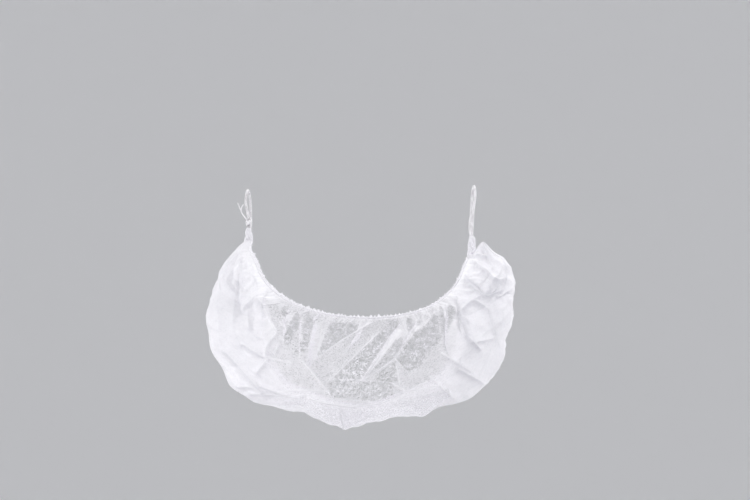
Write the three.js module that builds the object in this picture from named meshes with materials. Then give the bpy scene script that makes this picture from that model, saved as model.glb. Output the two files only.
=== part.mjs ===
import * as THREE from "three";
import { mergeVertices } from "three/addons/utils/BufferGeometryUtils.js";

// A disposable beard net in millimetres, as it is worn. +Z is up and the face looks along -Y.
// The origin is the middle of the face hem, just below the lower lip. Left is -X.

// Where the two gathered ends lie, beside the ears
const endSpan = 155; // between the two ends
const endSetback = 88; // behind the middle of the face hem
const leftEndRise = 51.5; // above the middle of the face hem
const rightEndRise = 42;
const endRadius = 3; // of the ring in which the cloth comes together

// The pouch
const faceRise = 54; // the face hem's own rise from its middle to the ears
const lobeBillow = 30; // how far the side lobes stand out beyond the ends
const pouchDrop = 77; // its lowest point below the middle of the face hem
const neckInset = 52; // the middle of the neck hem behind that of the face hem
const clothThickness = 1;

// Gathers along the hems, as waves in the cloth
const ruffleCount = 16; // along each hem
const ruffleHeight = 2;
const ruffleReach = 0.36; // share of the cloth's width over which they die away
const foldHeight = 5; // the tallest fold
const foldWidth = 6; // of a narrow fold, to either side of its line

// The hems
const hemRadius = 0.9;
const hemTooth = 0.22; // how far the fine teeth stand out
const pieceGap = 0.3;
const hemReach = hemRadius + hemTooth + pieceGap; // from the cloth's edge to the hem's middle

// The elastic cord
const cordRadius = 1.1;
const strandRadius = 0.55; // one loose strand
const leftGatherLength = 8;
const rightGatherLength = 12;
const gatherNeckRadius = 1.9; // where the cord comes out
const knotLength = 6.5;
const knotRadius = 2.1;
const leftLoopRise = 20; // above the knot
const rightLoopRise = 36; // above the gathered end
const loopDepth = 25; // from the leg before the ear to the leg behind it
const leftTailRise = 11;
const rightTailRise = 13;

// How finely the surfaces are cut
const SECTION_STEPS = 66;
const WIDTH_STEPS = 26;
const HEM_SIDES = 6;
const CORD_SIDES = 8;
const CORD_STEPS = 40;
const TAIL_STEPS = 8;
const BUNDLE_SIDES = 18;
const BUNDLE_STEPS = 6;
const KNOT_SIDES = 12;
const KNOT_STEPS = 12;

// One row for each section of the pouch, from the left end to the right one. Angles are degrees
// round the head from straight ahead. Each "Out" is a share of lobeBillow outside the face's
// oval, or of neckInset inside it. Each "Up" is a share of faceRise, or of pouchDrop below zero.
// face is the upper edge, belly the fullest part, under the lower turn and neck the rear edge.
const SECTION_COLUMNS = [
  "faceAngle", "faceUp",
  "bellyAngle", "bellyOut", "bellyUp",
  "underAngle", "underOut", "underUp",
  "neckAngle", "neckOut", "neckUp",
];
const SECTION_ROWS = [
  [-83, 0.88, -87, 0.3, 0.84, -92, 0.28, 0.7, -93, 0.02, 0.74],
  [-74, 0.78, -82, 0.6, 0.52, -90, 0.62, 0.05, -97, -0.04, 0.35],
  [-57, 0.45, -69, 0.92, 0.08, -81, 0.8, -0.33, -98, -0.15, -0.2],
  [-38, 0.2, -50, 0.85, -0.2, -60, 0.5, -0.72, -76, -0.42, -0.56],
  [-18, 0.05, -22, 0.6, -0.33, -32, 0.1, -0.82, -42, -0.8, -0.74],
  [0, 0, 0, 0.47, -0.4, -8, -0.19, -0.99, 0, -0.95, -0.8],
  [18, 0.02, 22, 0.55, -0.33, 24, -0.05, -0.89, 42, -0.8, -0.72],
  [38, 0.14, 50, 0.8, -0.12, 57, 0.44, -0.71, 76, -0.42, -0.54],
  [57, 0.4, 68, 1.05, 0.22, 79, 0.72, -0.33, 98, -0.15, -0.2],
  [74, 0.74, 81, 0.88, 0.5, 90, 0.62, 0.0, 97, -0.04, 0.35],
  [81, 0.7, 84, 0.36, 0.88, 92, 0.42, 0.5, 93, 0.02, 0.6],
];

// The main folds, as seen from the front: each runs from one point to the other. x is a share of
// half of endSpan, up a share of faceRise or pouchDrop, height a share of foldHeight (a valley
// below zero) and width a share of foldWidth.
const FOLD_COLUMNS = ["x1", "up1", "x2", "up2", "height", "width"];
const FOLD_ROWS = [
  [0.22, -0.05, -0.48, -0.55, 1, 1.5],
  [0.38, -0.08, 0.04, -0.52, 0.9, 1],
  [0.5, -0.11, 0.31, -0.36, 0.8, 1],
  [0.31, -0.36, 0.45, -0.5, 0.7, 1],
  [-0.33, -0.03, -0.46, -0.43, 0.7, 1],
  [-0.55, 0, -0.66, -0.26, 0.7, 1],
  [-0.44, -0.74, -0.08, -0.8, 0.8, 1],
  [-0.08, -0.8, 0.39, -0.66, 0.8, 1],
  [-0.18, -0.87, -0.13, -1, 0.8, 1],
  [0.94, 0.52, 1.11, 0.25, 0.8, 1],
  [1.22, 0.34, 1.05, 0.3, -0.7, 1.17],
  [1, 0.25, 1.13, -0.03, 0.8, 1],
  [1.13, -0.03, 1.26, -0.26, 0.7, 1.17],
  [0.89, 0.1, 0.94, -0.18, 0.8, 1],
  [0.94, -0.18, 1.04, -0.29, 0.7, 1],
  [0.86, -0.47, 1.07, -0.59, 0.7, 1.17],
  [-1.05, 0.77, -0.96, -0.12, 1, 1.33],
  [-0.92, 0.2, -0.79, -0.34, -0.8, 1.17],
  [-0.8, -0.36, -1.03, -0.7, 0.8, 1.17],
  [-0.86, -0.61, -0.53, -0.74, 0.8, 1.17],
];

function asRecord(columns, row) {
  return Object.fromEntries(columns.map((name, i) => [name, row[i]]));
}

const FOLDS = FOLD_ROWS.map((row) => asRecord(FOLD_COLUMNS, row));
const SECTIONS = SECTION_ROWS.map((row) => asRecord(SECTION_COLUMNS, row));

function level(share) {
  return share >= 0 ? share * faceRise : share * pouchDrop;
}

function reach(share) {
  return share >= 0 ? share * lobeBillow : share * neckInset;
}

function roundHead(angle, out, height) {
  const turn = THREE.MathUtils.degToRad(angle);
  return new THREE.Vector3(
    Math.sin(turn) * (endSpan / 2 + out),
    endSetback - Math.cos(turn) * (endSetback + out),
    height,
  );
}

// The ring in which the cloth comes together, open on the side of the head
const RING_TURNS = [-45, 45, 135, 225];

function ringPoints(side, rise) {
  return RING_TURNS.map((degrees) => {
    const turn = THREE.MathUtils.degToRad(degrees);
    return new THREE.Vector3(
      side * (endSpan / 2 + endRadius * Math.sin(turn)),
      endSetback - endRadius * Math.cos(turn),
      rise,
    );
  });
}

// The four guide curves that run from end to end of the pouch
function guideCurves() {
  const inner = SECTIONS.map((s) => [
    roundHead(s.faceAngle, 0, level(s.faceUp) - hemReach),
    roundHead(s.bellyAngle, reach(s.bellyOut), level(s.bellyUp)),
    roundHead(s.underAngle, reach(s.underOut), level(s.underUp)),
    roundHead(s.neckAngle, reach(s.neckOut), level(s.neckUp)),
  ]);
  const rows = [ringPoints(-1, leftEndRise), ...inner, ringPoints(1, rightEndRise)];
  return RING_TURNS.map((_, k) => {
    const points = rows.map((row) => row[k]);
    return new THREE.CatmullRomCurve3(points, false, "centripetal");
  });
}

// The smooth pouch, as a grid of points: one line for each section, from face edge to neck edge
function smoothGrid() {
  const guides = guideCurves();
  const grid = [];
  for (let i = 0; i <= SECTION_STEPS; i++) {
    const points = guides.map((guide) => guide.getPoint(i / SECTION_STEPS));
    const section = new THREE.CatmullRomCurve3(points, false, "centripetal");
    grid.push(section.getSpacedPoints(WIDTH_STEPS));
  }
  return grid;
}

function gridNormals(grid) {
  const last = grid.length - 1;
  return grid.map((line, i) => {
    const before = grid[Math.max(i - 1, 0)];
    const after = grid[Math.min(i + 1, last)];
    return line.map((_, j) => {
      const along = new THREE.Vector3().subVectors(after[j], before[j]);
      const across = new THREE.Vector3().subVectors(
        line[Math.min(j + 1, line.length - 1)],
        line[Math.max(j - 1, 0)],
      );
      return across.cross(along).normalize();
    });
  });
}

function distanceToFold(point, fold) {
  const half = endSpan / 2;
  const start = new THREE.Vector2(fold.x1 * half, level(fold.up1));
  const end = new THREE.Vector2(fold.x2 * half, level(fold.up2));
  const run = new THREE.Vector2().subVectors(end, start);
  const here = new THREE.Vector2(point.x, point.z).sub(start);
  const share = THREE.MathUtils.clamp(here.dot(run) / run.lengthSq(), 0, 1);
  return here.addScaledVector(run, -share).length();
}

// Shares of the cloth's length or width over which its waves die away
const END_FADE = [0.04, 0.14];
const EDGE_FADE = [0.02, 0.15];
const FACING_FADE = [0, 0.3]; // from the sides, where a normal lies across, to the front

// How far the cloth stands off its smooth form. Both kinds of wave die away towards the ends.
function standOff(point, normal, along, across) {
  const fromEnd = Math.min(along, 1 - along);
  const fade = THREE.MathUtils.smoothstep(fromEnd, ...END_FADE);
  const wave = Math.cos(2 * Math.PI * ruffleCount * along);
  const fromHem = Math.min(across, 1 - across);
  const swell = THREE.MathUtils.smoothstep(fromHem, 0, ruffleReach / 3);
  const decay = 1 - THREE.MathUtils.smoothstep(fromHem, ruffleReach / 3, ruffleReach);
  const ruffle = ruffleHeight * wave * swell * decay;
  const facing = THREE.MathUtils.smoothstep(-normal.y, ...FACING_FADE);
  const offHem = THREE.MathUtils.smoothstep(fromHem, ...EDGE_FADE);
  const heights = FOLDS.map((fold) => {
    const far = distanceToFold(point, fold) / (fold.width * foldWidth);
    return fold.height * Math.exp(-far * far);
  });
  const fold = foldHeight * (Math.max(0, ...heights) + Math.min(0, ...heights));
  return fade * (ruffle + facing * offHem * fold);
}

function foldedGrid(grid) {
  const normals = gridNormals(grid);
  return grid.map((line, i) =>
    line.map((point, j) => {
      const normal = normals[i][j];
      const off = standOff(point, normal, i / SECTION_STEPS, j / WIDTH_STEPS);
      return point.clone().addScaledVector(normal, off);
    }),
  );
}

// A closed solid from a list of corners and a list of triangles
function solidFrom(corners, triangles) {
  const geometry = new THREE.BufferGeometry();
  geometry.setAttribute(
    "position",
    new THREE.Float32BufferAttribute(corners.flatMap((p) => [p.x, p.y, p.z]), 3),
  );
  geometry.setIndex(triangles.flat());
  return mergeVertices(geometry, 1e-4);
}

// A sheet of even thickness, with its rim closed all round
function sheetSolid(grid, thickness) {
  const normals = gridNormals(grid);
  const rows = grid.length;
  const columns = grid[0].length;
  const corners = [];
  for (const side of [thickness / 2, -thickness / 2]) {
    grid.forEach((line, i) =>
      line.forEach((p, j) => corners.push(p.clone().addScaledVector(normals[i][j], side))),
    );
  }
  const outer = (i, j) => i * columns + j;
  const inner = (i, j) => rows * columns + outer(i, j);
  const triangles = [];
  const quad = (a, b, c, d) => triangles.push([a, b, c], [a, c, d]);
  for (let i = 0; i < rows - 1; i++) {
    for (let j = 0; j < columns - 1; j++) {
      quad(outer(i, j), outer(i, j + 1), outer(i + 1, j + 1), outer(i + 1, j));
      quad(inner(i, j), inner(i + 1, j), inner(i + 1, j + 1), inner(i, j + 1));
    }
    quad(outer(i, 0), outer(i + 1, 0), inner(i + 1, 0), inner(i, 0));
    const j = columns - 1;
    quad(outer(i, j), inner(i, j), inner(i + 1, j), outer(i + 1, j));
  }
  for (let j = 0; j < columns - 1; j++) {
    quad(outer(0, j), inner(0, j), inner(0, j + 1), outer(0, j + 1));
    const i = rows - 1;
    quad(outer(i, j), outer(i, j + 1), inner(i, j + 1), inner(i, j));
  }
  return solidFrom(corners, triangles);
}

// A solid swept along a curve. radiusAt gives its radius for a share of the length and a turn.
function sweptSolid(curve, steps, sides, radiusAt) {
  const frames = curve.computeFrenetFrames(steps, false);
  const corners = [];
  for (let i = 0; i <= steps; i++) {
    const centre = curve.getPointAt(i / steps);
    for (let k = 0; k < sides; k++) {
      const turn = (2 * Math.PI * k) / sides;
      const radius = radiusAt(i / steps, turn);
      corners.push(
        centre
          .clone()
          .addScaledVector(frames.normals[i], radius * Math.cos(turn))
          .addScaledVector(frames.binormals[i], radius * Math.sin(turn)),
      );
    }
  }
  const triangles = [];
  for (let i = 0; i < steps; i++) {
    for (let k = 0; k < sides; k++) {
      const next = (k + 1) % sides;
      const [a, b] = [i * sides + k, i * sides + next];
      triangles.push([a, b, b + sides], [a, b + sides, a + sides]);
    }
  }
  const first = corners.push(curve.getPointAt(0)) - 1;
  const last = corners.push(curve.getPointAt(1)) - 1;
  for (let k = 0; k < sides; k++) {
    const next = (k + 1) % sides;
    triangles.push([first, next, k]);
    triangles.push([last, steps * sides + k, steps * sides + next]);
  }
  return solidFrom(corners, triangles);
}

function smoothCurve(points) {
  return new THREE.CatmullRomCurve3(points, false, "centripetal");
}

const cloth = new THREE.MeshStandardMaterial({ color: 0xf2f0f6, roughness: 0.9, metalness: 0 });
const hemCloth = new THREE.MeshStandardMaterial({ color: 0xe9e6ef, roughness: 0.9, metalness: 0 });
const elastic = new THREE.MeshStandardMaterial({ color: 0xf4f1f2, roughness: 0.8, metalness: 0 });

const beardNet = new THREE.Group();

function addPiece(name, geometry, material) {
  geometry.computeVertexNormals();
  const mesh = new THREE.Mesh(geometry, material);
  mesh.name = name;
  beardNet.add(mesh);
}

// The pouch
const pouchGrid = foldedGrid(smoothGrid());
addPiece("pouch", sheetSolid(pouchGrid, clothThickness), cloth);

// The hems run just beyond the edges of the cloth, from one end to the other
function hemCurve(edgeIndex, nextIndex) {
  const points = pouchGrid.map((line) => {
    const outward = new THREE.Vector3().subVectors(line[edgeIndex], line[nextIndex]).normalize();
    return line[edgeIndex].clone().addScaledVector(outward, hemReach);
  });
  return smoothCurve(points.slice(1, -1));
}

// Every other step of a hem stands out as a tooth
function hemSolid(curve) {
  return sweptSolid(curve, SECTION_STEPS, HEM_SIDES, (share) => {
    const step = Math.round(share * SECTION_STEPS);
    return hemRadius + (step % 2 ? -hemTooth : hemTooth);
  });
}

addPiece("face_hem", hemSolid(hemCurve(0, 1)), hemCloth);
addPiece("neck_hem", hemSolid(hemCurve(WIDTH_STEPS, WIDTH_STEPS - 1)), hemCloth);

// The bunched ends, pleated lengthwise and drawn in to the cord
const PLEATS = 6;
const PLEAT_DEPTH = 0.14; // share of the radius
const clothEndRadius = endRadius + clothThickness / 2;

function gatherSolid(base, length) {
  const curve = new THREE.LineCurve3(base, base.clone().setZ(base.z + length));
  return sweptSolid(curve, BUNDLE_STEPS, BUNDLE_SIDES, (share, turn) => {
    const radius = THREE.MathUtils.lerp(clothEndRadius, gatherNeckRadius, Math.sqrt(share));
    return radius * (1 - PLEAT_DEPTH + PLEAT_DEPTH * Math.cos(PLEATS * turn));
  });
}

function endPoint(side, height) {
  return new THREE.Vector3((side * endSpan) / 2, endSetback, height);
}

const leftGatherFoot = leftEndRise + clothThickness / 2 + pieceGap;
const rightGatherFoot = rightEndRise + clothThickness / 2 + pieceGap;
addPiece("gather_left", gatherSolid(endPoint(-1, leftGatherFoot), leftGatherLength), cloth);
addPiece("gather_right", gatherSolid(endPoint(1, rightGatherFoot), rightGatherLength), cloth);

// The knot, as turns of cord drawn tight
const KNOT_TURNS = 2;
const KNOT_END = 0.55; // its radius at top and foot, as a share of knotRadius
const KNOT_RIDGE = 0.1; // how far a turn stands out, as a share of knotRadius
const knotFoot = leftGatherFoot + leftGatherLength + pieceGap;
const knotTop = knotFoot + knotLength;
const knotLine = new THREE.LineCurve3(endPoint(-1, knotFoot), endPoint(-1, knotTop));
const knot = sweptSolid(knotLine, KNOT_STEPS, KNOT_SIDES, (share, turn) => {
  const barrel = KNOT_END + (1 - KNOT_END) * Math.sin(Math.PI * share);
  const wrap = 1 + KNOT_RIDGE * Math.cos(2 * Math.PI * KNOT_TURNS * share - turn);
  return knotRadius * barrel * wrap;
});
addPiece("knot_left", knot, elastic);

// The ear loops: up before the ear, over it, down behind it and back under the lobe. Each route
// starts on top of its knot or gathered end. out is in cord radii away from the head, back a
// share of loopDepth and up a share of the loop's rise.
const LEFT_ROUTE = [
  { out: 0, back: 0, up: 0 },
  { out: 0.9, back: 0.02, up: 0.25 },
  { out: 1.9, back: 0.05, up: 0.58 },
  { out: 1.6, back: 0.14, up: 0.85 },
  { out: 0.9, back: 0.42, up: 1 },
  { out: 0, back: 0.78, up: 0.88 },
  { out: -0.6, back: 1, up: 0.45 },
  { out: -0.9, back: 0.95, up: -0.1 },
  { out: -0.4, back: 0.62, up: -0.42 },
];
const RIGHT_ROUTE = [
  { out: 0, back: 0, up: 0 },
  { out: 0.3, back: 0.01, up: 0.2 },
  { out: 0.9, back: 0.03, up: 0.5 },
  { out: 2.2, back: 0.1, up: 0.84 },
  { out: 1.6, back: 0.42, up: 1 },
  { out: 0.6, back: 0.8, up: 0.88 },
  { out: 0, back: 1, up: 0.55 },
  { out: -0.4, back: 0.9, up: 0.18 },
  { out: -0.2, back: 0.5, up: -0.06 },
];

function loopCurve(side, start, rise, route, end) {
  const points = route.map(
    (p) =>
      new THREE.Vector3(
        start.x + side * p.out * cordRadius,
        start.y + p.back * loopDepth,
        start.z + p.up * rise,
      ),
  );
  return smoothCurve([...points, end]);
}

const loopSolid = (curve) => sweptSolid(curve, CORD_STEPS, CORD_SIDES, () => cordRadius);

const leftLoopStart = endPoint(-1, knotTop + pieceGap);
const leftLoopEnd = endPoint(-1, (knotFoot + knotTop) / 2);
leftLoopEnd.y += knotRadius * (1 + KNOT_RIDGE) + pieceGap;
const leftLoop = loopCurve(-1, leftLoopStart, leftLoopRise, LEFT_ROUTE, leftLoopEnd);
addPiece("ear_loop_left", loopSolid(leftLoop), elastic);

const rightGatherTop = rightGatherFoot + rightGatherLength;
const rightLoopStart = endPoint(1, rightGatherTop + pieceGap);
const rightLoopEnd = endPoint(1, rightGatherTop - cordRadius);
rightLoopEnd.y += gatherNeckRadius + pieceGap;
const rightLoop = loopCurve(1, rightLoopStart, rightLoopRise, RIGHT_ROUTE, rightLoopEnd);
addPiece("ear_loop_right", loopSolid(rightLoop), elastic);

// The loose ends. out is away from the head and ahead is towards the face, in cord radii.
const LEFT_TAIL = [
  { out: 2.1, ahead: 0.6, up: 0 },
  { out: 4.2, ahead: 1.2, up: 0.33 },
  { out: 5.6, ahead: 1.6, up: 0.66 },
  { out: 7, ahead: 1.6, up: 1 },
];
const RIGHT_TAIL = [
  { out: -1.2, ahead: 1.2, up: 0 },
  { out: -1.9, ahead: 1.6, up: 0.35 },
  { out: -1.8, ahead: 1.6, up: 0.65 },
  { out: -1.2, ahead: 1.5, up: 1 },
];

function tailSolid(side, base, rise, route) {
  const points = route.map(
    (p) =>
      new THREE.Vector3(
        base.x + side * p.out * cordRadius,
        base.y - p.ahead * cordRadius,
        base.z + p.up * rise,
      ),
  );
  return sweptSolid(smoothCurve(points), TAIL_STEPS, CORD_SIDES, () => strandRadius);
}

const leftTailBase = endPoint(-1, knotTop - strandRadius);
const rightTailBase = endPoint(1, rightGatherTop + pieceGap + strandRadius);
addPiece("tail_left", tailSolid(-1, leftTailBase, leftTailRise, LEFT_TAIL), elastic);
addPiece("tail_right", tailSolid(1, rightTailBase, rightTailRise, RIGHT_TAIL), elastic);

export default beardNet;
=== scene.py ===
"""Looks of a disposable beard net: crumpled see-through nonwoven, gathered hems, elastic loops."""
import math

import bpy
import numpy as np
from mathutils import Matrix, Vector


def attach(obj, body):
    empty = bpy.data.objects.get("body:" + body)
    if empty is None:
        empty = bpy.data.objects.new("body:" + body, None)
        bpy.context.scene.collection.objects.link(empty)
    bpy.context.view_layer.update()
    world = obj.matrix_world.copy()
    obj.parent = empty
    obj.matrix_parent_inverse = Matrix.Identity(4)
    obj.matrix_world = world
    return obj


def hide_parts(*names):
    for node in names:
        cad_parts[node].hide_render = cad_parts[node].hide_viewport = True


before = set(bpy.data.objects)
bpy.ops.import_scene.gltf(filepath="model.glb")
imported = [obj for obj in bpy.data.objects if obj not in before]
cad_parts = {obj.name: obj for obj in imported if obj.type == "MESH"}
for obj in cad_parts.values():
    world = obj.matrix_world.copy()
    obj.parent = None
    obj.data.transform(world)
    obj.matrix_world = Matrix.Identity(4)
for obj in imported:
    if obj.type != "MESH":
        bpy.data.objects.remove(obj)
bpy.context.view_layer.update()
scene = bpy.context.scene

MM = 0.001
SEED = 7

# The photograph: its size and the place of the part's origin in pixels, and mm to a pixel
FRAME_PIXELS = (750, 500)
ORIGIN_PIXEL = (360, 316)
PIXEL = 0.68

# Sizes of the part, in millimetres, as its solids have them
END_SPAN = 155
END_SETBACK = 88
LEFT_END_RISE = 51.5
RIGHT_END_RISE = 42
END_RADIUS = 3
FACE_RISE = 54
LOBE_BILLOW = 30
POUCH_DROP = 77
NECK_INSET = 52
CLOTH_THICKNESS = 1
HEM_REACH = 1.42
PIECE_GAP = 0.3
LEFT_GATHER_LENGTH = 8
RIGHT_GATHER_LENGTH = 12
KNOT_LENGTH = 6.5
CORD_RADIUS = 1.1
STRAND_RADIUS = 0.55
LOOP_DEPTH = 25
LEFT_LOOP_RISE = 20
RIGHT_LOOP_RISE = 36
LEFT_TAIL_RISE = 11
RIGHT_TAIL_RISE = 13

# Columns: face angle and height, belly angle, out and height, under angle, out and height,
# neck angle, out and height. Angles are degrees from straight ahead, the rest are shares.
SECTION_ROWS = [
    (-83, 0.88, -87, 0.3, 0.84, -92, 0.28, 0.7, -93, 0.02, 0.74),
    (-74, 0.78, -82, 0.6, 0.52, -90, 0.62, 0.05, -97, -0.04, 0.35),
    (-57, 0.45, -69, 0.92, 0.08, -81, 0.8, -0.33, -98, -0.15, -0.2),
    (-38, 0.2, -50, 0.85, -0.2, -60, 0.5, -0.72, -76, -0.42, -0.56),
    (-18, 0.05, -22, 0.6, -0.33, -32, 0.1, -0.82, -42, -0.8, -0.74),
    (0, 0, 0, 0.47, -0.4, -8, -0.19, -0.99, 0, -0.95, -0.8),
    (18, 0.02, 22, 0.55, -0.33, 24, -0.05, -0.89, 42, -0.8, -0.72),
    (38, 0.14, 50, 0.8, -0.12, 57, 0.44, -0.71, 76, -0.42, -0.54),
    (57, 0.4, 68, 1.05, 0.22, 79, 0.72, -0.33, 98, -0.15, -0.2),
    (74, 0.74, 81, 0.88, 0.5, 90, 0.62, 0.0, 97, -0.04, 0.35),
    (81, 0.7, 84, 0.36, 0.88, 92, 0.42, 0.5, 93, 0.02, 0.6),
]
RING_TURNS = (-45, 45, 135, 225)

# The cloth's own grid, with its steps finer at the front. Columns: share of the cloth, and how
# many of the steps lie before it.
SECTIONS = 520
ACROSS = 190
SECTION_PLACES = ((0, 0.26, 0.74, 1), (0, 0.18, 0.82, 1))
ACROSS_PLACES = ((0, 0.62, 1), (0, 0.72, 1))
SOFTENING = 20  # steps on each side over which the grid's spacing changes
FLAT_LENGTH = 0.40  # in metres, along the hems and before gathering

# How finely a curve is followed before it is cut into its steps
SECTION_CUTS = 241
PATH_CUTS = 1200


def running_mean(values, reach, **padding):
    """Each value's mean with as many neighbours on each side as reach says."""
    window = np.ones(2 * reach + 1) / (2 * reach + 1)
    return np.convolve(np.pad(values, reach, **padding), window, "valid")


def grid_shares(steps, places):
    """Places of the grid's lines, 0 to 1, closer together where the table says."""
    even = np.linspace(0, 1, steps + 1)
    shares = np.interp(even, places[1], places[0])
    soft = running_mean(shares, SOFTENING, mode="reflect", reflect_type="odd")
    return (soft - soft[0]) / (soft[-1] - soft[0])


def level(share):
    """A height in mm, from a share of the rise or of the drop."""
    return share * (FACE_RISE if share >= 0 else POUCH_DROP)


def reach(share):
    """How far out in mm, from a share of the lobes' billow or of the neck's inset."""
    return share * (LOBE_BILLOW if share >= 0 else NECK_INSET)


def place_round(angle, out, height):
    """A point on the arc round the net, out from it in mm, at an angle from straight ahead."""
    turn = math.radians(angle)
    return (
        math.sin(turn) * (END_SPAN / 2 + out),
        END_SETBACK - math.cos(turn) * (END_SETBACK + out),
        height,
    )


def centripetal(points, shares):
    """Points at equal shares of the segments of a centripetal Catmull-Rom curve."""
    pts = np.asarray(points, float)
    ends = (2 * pts[0] - pts[1], 2 * pts[-1] - pts[-2])
    padded = np.vstack([ends[0], pts, ends[1]])
    place = np.clip(np.asarray(shares) * (len(pts) - 1), 0, len(pts) - 1)
    seg = np.minimum(place.astype(int), len(pts) - 2)
    w = (place - seg)[:, None]
    p = [padded[seg + k] for k in range(4)]
    gap = [np.sqrt(np.linalg.norm(p[k + 1] - p[k], axis=1))[:, None] for k in range(3)]
    slope_1 = (p[1] - p[0]) / gap[0] - (p[2] - p[0]) / (gap[0] + gap[1]) + (p[2] - p[1]) / gap[1]
    slope_2 = (p[2] - p[1]) / gap[1] - (p[3] - p[1]) / (gap[1] + gap[2]) + (p[3] - p[2]) / gap[2]
    slope_1 *= gap[1]
    slope_2 *= gap[1]
    c2 = -3 * p[1] + 3 * p[2] - 2 * slope_1 - slope_2
    c3 = 2 * p[1] - 2 * p[2] + slope_1 + slope_2
    return p[1] + slope_1 * w + c2 * w**2 + c3 * w**3


def evenly(points, shares):
    """Points at shares of the length of a polyline."""
    steps = np.linalg.norm(np.diff(points, axis=0), axis=1)
    along = np.concatenate([[0], np.cumsum(steps)])
    return np.stack([np.interp(shares * along[-1], along, points[:, k]) for k in range(3)], 1)


def ring(side, rise):
    """Where the gathered end's cloth starts: one point for each guide."""
    return [
        (
            side * (END_SPAN / 2 + END_RADIUS * math.sin(math.radians(t))),
            END_SETBACK - END_RADIUS * math.cos(math.radians(t)),
            rise,
        )
        for t in RING_TURNS
    ]


def smooth_pouch(shares, even):
    """The pouch without folds, as an array of sections by points across by xyz, in mm."""
    rows = [ring(-1, LEFT_END_RISE)]
    for r in SECTION_ROWS:
        rows.append([
            place_round(r[0], 0, level(r[1]) - HEM_REACH),
            place_round(r[2], reach(r[3]), level(r[4])),
            place_round(r[5], reach(r[6]), level(r[7])),
            place_round(r[8], reach(r[9]), level(r[10])),
        ])
    rows.append(ring(1, RIGHT_END_RISE))
    guides = [centripetal([row[k] for row in rows], shares) for k in range(4)]
    fine = np.linspace(0, 1, SECTION_CUTS)
    return np.stack([
        evenly(centripetal([g[i] for g in guides], fine), even) for i in range(len(shares))
    ])


def normals_of(grid):
    """The unit normal at each point of a grid, out of the pouch."""
    along = np.gradient(grid, axis=0)
    across = np.gradient(grid, axis=1)
    n = np.cross(across, along)
    return n / np.maximum(np.linalg.norm(n, axis=2, keepdims=True), 1e-9)


def smoothstep(x, low, high):
    """0 up to low, 1 from high, and smooth between them."""
    t = np.clip((x - low) / (high - low), 0, 1)
    return t * t * (3 - 2 * t)


def noise2(x, y, seed):
    """Smooth gradient noise on the plane, about -1 to 1, the same on every run."""
    rng = np.random.default_rng(seed)
    table = rng.random((64, 64)) * 2 * math.pi
    xi = np.floor(x).astype(int)
    yi = np.floor(y).astype(int)
    xf = x - xi
    yf = y - yi

    def corner(dx, dy):
        turn = table[(xi + dx) % 64, (yi + dy) % 64]
        return np.cos(turn) * (xf - dx) + np.sin(turn) * (yf - dy)

    u = xf**3 * (xf * (xf * 6 - 15) + 10)
    v = yf**3 * (yf * (yf * 6 - 15) + 10)
    low = corner(0, 0) * (1 - u) + corner(1, 0) * u
    high = corner(0, 1) * (1 - u) + corner(1, 1) * u
    return 1.5 * (low * (1 - v) + high * v)


def noise1(x, row, seed):
    """Smooth noise along a line: one row of noise2's plane."""
    return noise2(x, x * 0 + row, seed)


def ridge(x):
    """A triangle wave, 0 to 1 and back once for each unit of x."""
    return 1 - np.abs(2 * (x - np.floor(x)) - 1)


def px(x, y):
    """A point of the photograph, in pixels, as x and z of the part in mm."""
    return (x - ORIGIN_PIXEL[0]) * PIXEL, (ORIGIN_PIXEL[1] - y) * PIXEL


TRIANGLE_SKEW = 0.366  # turns a grid of squares into one of triangles


def facets(x, y, seed):
    """Flat facets between random heights, -1 to 1, with straight creases where they meet."""
    table = np.random.default_rng(seed).random((64, 64)) * 2 - 1
    skew = (x + y) * TRIANGLE_SKEW
    a = x + skew
    b = y + skew
    ia = np.floor(a).astype(int)
    ib = np.floor(b).astype(int)
    fa = a - ia
    fb = b - ib

    def at(da, db):
        return table[(ia + da) % 64, (ib + db) % 64]

    lower = at(0, 0) * (1 - fa) + at(1, 0) * (fa - fb) + at(1, 1) * fb
    upper = at(0, 0) * (1 - fb) + at(0, 1) * (fb - fa) + at(1, 1) * fa
    return np.where(fa >= fb, lower, upper)


# How far noise bends the creases between facets, and its cells for each facet
CREASE_BEND = 0.45
CREASE_CELLS = 0.6


def crumple(x, y, size, seed, turn, stretch):
    """Facets of about one size in mm, turned by an angle and drawn out along it."""
    a = (x * math.cos(turn) + y * math.sin(turn)) / (size * stretch)
    b = (y * math.cos(turn) - x * math.sin(turn)) / size
    bend_a = CREASE_BEND * noise2(a * CREASE_CELLS, b * CREASE_CELLS, seed + 1)
    bend_b = CREASE_BEND * noise2(a * CREASE_CELLS, b * CREASE_CELLS, seed + 2)
    return facets(a + bend_a, b + bend_b, seed)


def overlap(x, y, size, seed, turn, stretch):
    """1 where crumpled cloth lies double, in long straight-edged slivers, else 0."""
    return smoothstep(crumple(x, y, size, seed, turn, stretch), 0.22, 0.26)


# Folds of the front that lie over themselves, as the photograph shows them. Columns: start and
# end in pixels, width in mm at each, how far it doubles over, lift in mm.
FOLD_OVERS = [
    (377, 318, 321, 375, 8.0, 9.0, 0.5, 0.4),
    (403, 320, 366, 374, 4.0, 1.8, 2.0, 0.7),
    (422, 315, 397, 355, 3.6, 1.5, 2.0, 0.6),
    (318, 315, 309, 360, 3.2, 4.4, 2.2, 0.8),
    (302, 312, 299, 348, 1.9, 2.0, 2.2, 0.7),
    (290, 306, 285, 332, 2.2, 2.4, 2.2, 0.7),
    (446, 304, 447, 345, 2.6, 4.0, 2.2, 0.7),
    (326, 314, 322, 340, 1.6, 1.6, 1.8, 0.5),
    (457, 292, 461, 325, 2.2, 3.0, 2.2, 0.7),
    (266, 292, 262, 326, 2.4, 3.4, 2.2, 0.7),
]

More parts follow.
